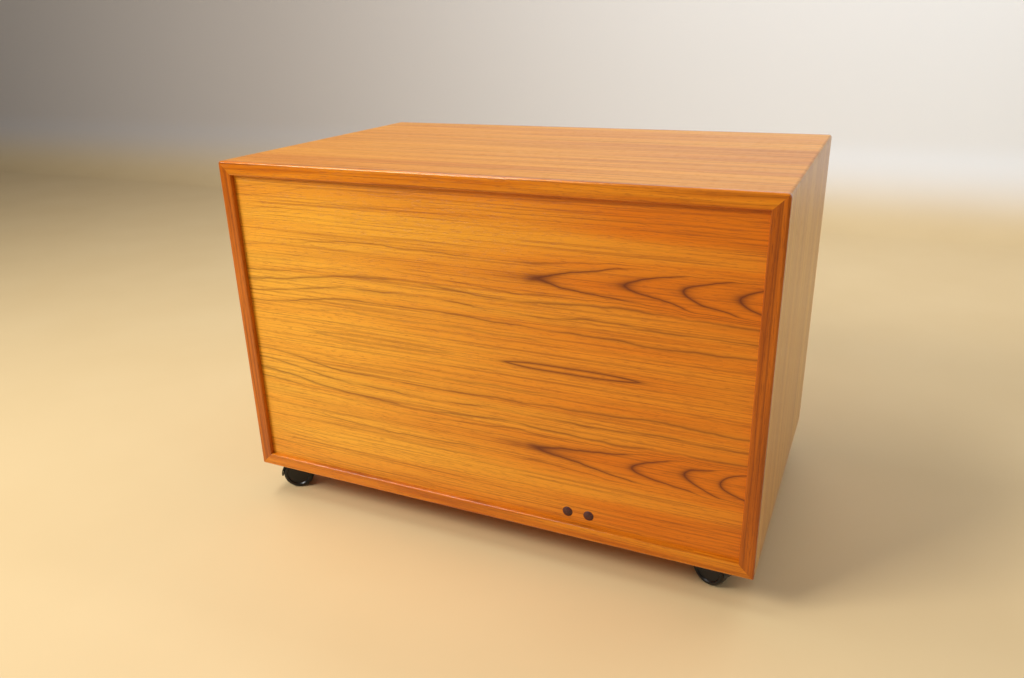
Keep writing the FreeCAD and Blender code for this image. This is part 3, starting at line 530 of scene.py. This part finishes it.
HOOD_BLACK = rgb(10, 10, 12)
WHEEL_BLACK = rgb(11, 10, 10)
SCUFFS = {"scale": 90.0, "detail": 4.0, "roughness": 0.7}
SCUFF_LEVELS = (0.56, 0.78)
SCUFF_GREY = rgb(52, 50, 48)
SCUFF_SHARE = 0.15
SCUFF_ROUGHNESS = 0.25
PLUG_MOTTLE = {"scale": 420.0, "detail": 3.0}
PLUG_LEVELS = (0.35, 0.7)
PLUG_BROWNS = (rgb(82, 36, 30), rgb(58, 24, 20))
PLUG_ROUGHNESS = 0.36
PLUG_MOTTLE_ROUGHNESS = 0.1
PLUG_DEPTH = 0.00005
BRUSHING_RATES = (40.0, 1200.0, 1200.0)
ZINC_GREYS = (rgb(168, 168, 166), rgb(206, 206, 204))
ZINC_ROUGHNESS = 0.28
BRUSHING_ROUGHNESS = 0.16
BRUSHING_DEPTH = 0.00002


def moulded_black(name, colour, gloss, texture_rate, depth, coat):
    """Moulded plastic: nearly black, with a faint moulding texture and scuffs."""
    graph = Graph(name)
    where = graph.vector(*graph.place())
    texture = graph.noise(where, texture_rate)
    scuffs = graph.step(graph.noise(where, **SCUFFS), *SCUFF_LEVELS)
    scuffed = graph.mix(graph.times(scuffs, SCUFF_SHARE), colour, SCUFF_GREY)
    roughness = graph.sum(gloss, graph.times(scuffs, SCUFF_ROUGHNESS))
    return graph.finish(scuffed, roughness, texture, depth,
                        Specular_IOR_Level=0.35, Coat_Weight=coat)


def plug_brown():
    """Dark red-brown moulded plugs with a satin face."""
    graph = Graph("plug_red_brown")
    mottle = graph.noise(graph.vector(*graph.place()), **PLUG_MOTTLE)
    colour = graph.mix(graph.step(mottle, *PLUG_LEVELS), *PLUG_BROWNS)
    roughness = graph.sum(PLUG_ROUGHNESS, graph.times(mottle, PLUG_MOTTLE_ROUGHNESS))
    return graph.finish(colour, roughness, mottle, PLUG_DEPTH)


def zinc():
    """Zinc-plated steel with fine brushing."""
    graph = Graph("zinc_plated_steel")
    brushed = graph.pattern(graph.place(), BRUSHING_RATES)
    colour = graph.mix(brushed, *ZINC_GREYS)
    roughness = graph.sum(ZINC_ROUGHNESS, graph.times(brushed, BRUSHING_ROUGHNESS))
    return graph.finish(colour, roughness, brushed, BRUSHING_DEPTH, Metallic=1.0)


# ---------------------------------------------------------------- materials on the CAD nodes

def materials():
    """Each record slot's material, and one more for beech boards that run across the case."""
    return {
        "teak_lengthwise": straight_teak("teak_along_length", LENGTHWISE, TOP_TEAK, seed=1.0,
                                         ring_gap=0.013, line_share=0.45, finish=TOP_LACQUER),
        "teak_upright": straight_teak("teak_upright_grain", UPRIGHT_ON_END, END_TEAK, seed=2.0,
                                      ring_gap=0.012, line_share=0.45, finish=END_LACQUER),
        "teak_back_veneer": back_veneer(),
        "teak_front_veneer": straight_teak("teak_fronts", LEVEL_ON_FACE, TOP_TEAK, seed=3.0,
                                           ring_gap=0.012, line_share=0.55),
        "teak_leaf": straight_teak("teak_leaf_grain", LENGTHWISE, TOP_TEAK, seed=6.0,
                                   ring_gap=0.014, line_share=0.45),
        "teak_lipping_rail": straight_lipping("teak_rail_lipping", LEVEL_ON_FACE, RAIL_TEAK,
                                              seed=1.5),
        "teak_lipping_stile": straight_lipping("teak_stile_lipping", UPRIGHT_ON_FACE, STILE_TEAK,
                                               seed=2.5, in_recess=True),
        "teak_front_lipping": mitred_lipping("teak_front_lippings", RAIL_TEAK, seed=4.5),
        "birch_ply": pale_wood("sealed_birch_ply", LENGTHWISE, BIRCH, seed=1.0),
        "beech": pale_wood("sealed_beech", FRONT_TO_BACK, BEECH, seed=2.0),
        "beech_across": pale_wood("sealed_beech_across", LEVEL_ON_FACE, BEECH, seed=4.0),
        "hardwood_runner": pale_wood("waxed_runner", FRONT_TO_BACK, RUNNER_WOOD, seed=3.0),
        "dark_plug": plug_brown(),
        "black_gloss_plastic": moulded_black("glossy_black_hood", HOOD_BLACK, gloss=0.12,
                                             texture_rate=900.0, depth=0.000004, coat=0.4),
        "black_wheel": moulded_black("black_wheel", WHEEL_BLACK, gloss=0.30,
                                     texture_rate=1400.0, depth=0.00001, coat=0.1),
        "zinc_steel": zinc(),
    }


def dress():
    """Give every CAD node its record slot's material. Drawer backs, the carriage's back and the
    thread tray have their grain across the case."""
    chosen = materials()
    slots = {part["node"]: part["material_slot"] for part in frame["record"]["subparts"]}
    for node, slot in slots.items():
        if slot == "beech" and (node.endswith("_back") or node == "thread_tray"):
            slot = "beech_across"
        for place in frame["nodes"][node].material_slots:
            place.material = chosen[slot]


# ---------------------------------------------------------------- studio

FLOOR_TONE = rgb(226, 200, 152)
FLOOR_SHADE = rgb(218, 190, 140)
WALL_TONE = rgb(238, 240, 242)
WALL_SHADE = rgb(204, 198, 194)
SWEEP_MOTTLE = {"scale": 3.0, "detail": 3.0}
SWEEP_ROUGHNESS = 0.5
SWEEP_MOTTLE_ROUGHNESS = 0.1
WALL_FADE = (-1.0, 2.6)
FOOT_FADE = (0.0, 0.25)
SWEEP_HALF_WIDTH = 14.0
SWEEP_NEAR = 14.0
SWEEP_FAR = -2.2
SWEEP_BEND = 0.3
SWEEP_TURNS = 16
SWEEP_TOP = 4.5
CASE_MIDDLE = (0.0, 0.0, 0.3)
WALL_MIDDLE = (-1.0, -2.2, 1.1)
WORLD_TONE = (0.95, 0.97, 1.0, 1.0)
WORLD_STRENGTH = 0.20
LENS = 28.59
SENSOR_WIDTH = 36.0
CAMERA_PLACE = (-0.4925, 1.1561, 0.7316)
CAMERA_TURN = (68.761, 1.382, -155.344)


def studio_sweep():
    """A plain pale floor that curves up into a plain pale wall."""
    profile = [(SWEEP_NEAR, 0.0), (SWEEP_FAR + SWEEP_BEND, 0.0)]
    for turn in range(1, SWEEP_TURNS + 1):
        angle = math.pi / 2 * turn / SWEEP_TURNS
        profile.append((SWEEP_FAR + SWEEP_BEND * (1 - math.sin(angle)),
                        SWEEP_BEND * (1 - math.cos(angle))))
    profile.append((SWEEP_FAR, SWEEP_TOP))
    places = [(side * SWEEP_HALF_WIDTH, y, z) for y, z in profile for side in (-1, 1)]
    faces = [(2 * row, 2 * row + 1, 2 * row + 3, 2 * row + 2) for row in range(len(profile) - 1)]
    mesh = bpy.data.meshes.new("studio_sweep")
    mesh.from_pydata(places, [], faces)
    mesh.shade_smooth()
    sweep = bpy.data.objects.new("studio_sweep", mesh)
    bpy.context.scene.collection.objects.link(sweep)
    mesh.materials.append(sweep_paint())


def sweep_paint():
    """The pale floor, which turns into a wall that darkens towards +X."""
    graph = Graph("pale_sweep")
    x, y, z = graph.place()
    mottle = graph.noise(graph.vector(x, y, z), **SWEEP_MOTTLE)
    floor = graph.mix(mottle, FLOOR_TONE, FLOOR_SHADE)
    wall = graph.mix(graph.step(x, *WALL_FADE), WALL_TONE, WALL_SHADE)
    tone = graph.mix(graph.step(z, *FOOT_FADE), floor, wall)
    roughness = graph.sum(SWEEP_ROUGHNESS, graph.times(mottle, SWEEP_MOTTLE_ROUGHNESS))
    return graph.finish(tone, roughness)


def soft_light(name, place, aim, size, power, tone):
    """A rectangular soft box at a place, facing a point."""
    light = bpy.data.lights.new(name, "AREA")
    light.shape = "RECTANGLE"
    light.size, light.size_y = size
    light.energy = power
    light.color = tone
    lamp = bpy.data.objects.new(name, light)
    lamp.location = place
    lamp.rotation_euler = (Vector(aim) - Vector(place)).to_track_quat("-Z", "Y").to_euler()
    bpy.context.scene.collection.objects.link(lamp)


def studio_lights():
    """A soft window light from the camera's left, one overhead, a weak fill from the right,
    light on the wall behind, and an even surround."""
    soft_light("window", (1.7, 2.0, 2.2), CASE_MIDDLE, size=(1.3, 1.0), power=82.0,
               tone=(1.0, 0.98, 0.95))
    soft_light("overhead", (0.9, 0.35, 2.5), CASE_MIDDLE, size=(1.5, 0.5), power=24.0,
               tone=(1.0, 1.0, 1.0))
    soft_light("fill", (-2.6, 0.4, 1.2), CASE_MIDDLE, size=(1.2, 1.2), power=11.0,
               tone=(0.96, 0.98, 1.0))
    soft_light("wall_wash", (-1.0, -0.9, 2.6), WALL_MIDDLE, size=(2.0, 0.8), power=24.0,
               tone=(0.97, 0.98, 1.0))
    world = bpy.data.worlds.new("studio")
    world.use_nodes = True
    background = world.node_tree.nodes["Background"]
    background.inputs["Color"].default_value = WORLD_TONE
    background.inputs["Strength"].default_value = WORLD_STRENGTH
    bpy.context.scene.world = world


def camera():
    """The camera, which looks at the finished back and one end."""
    lens = bpy.data.cameras.new("camera")
    lens.lens = LENS
    lens.sensor_width = SENSOR_WIDTH
    view = bpy.data.objects.new("camera", lens)
    view.location = CAMERA_PLACE
    view.rotation_euler = Euler([math.radians(angle) for angle in CAMERA_TURN])
    bpy.context.scene.collection.objects.link(view)
    bpy.context.scene.camera = view


camera()
studio_sweep()
studio_lights()
dress()
bpy.context.scene.view_settings.view_transform = "Standard"
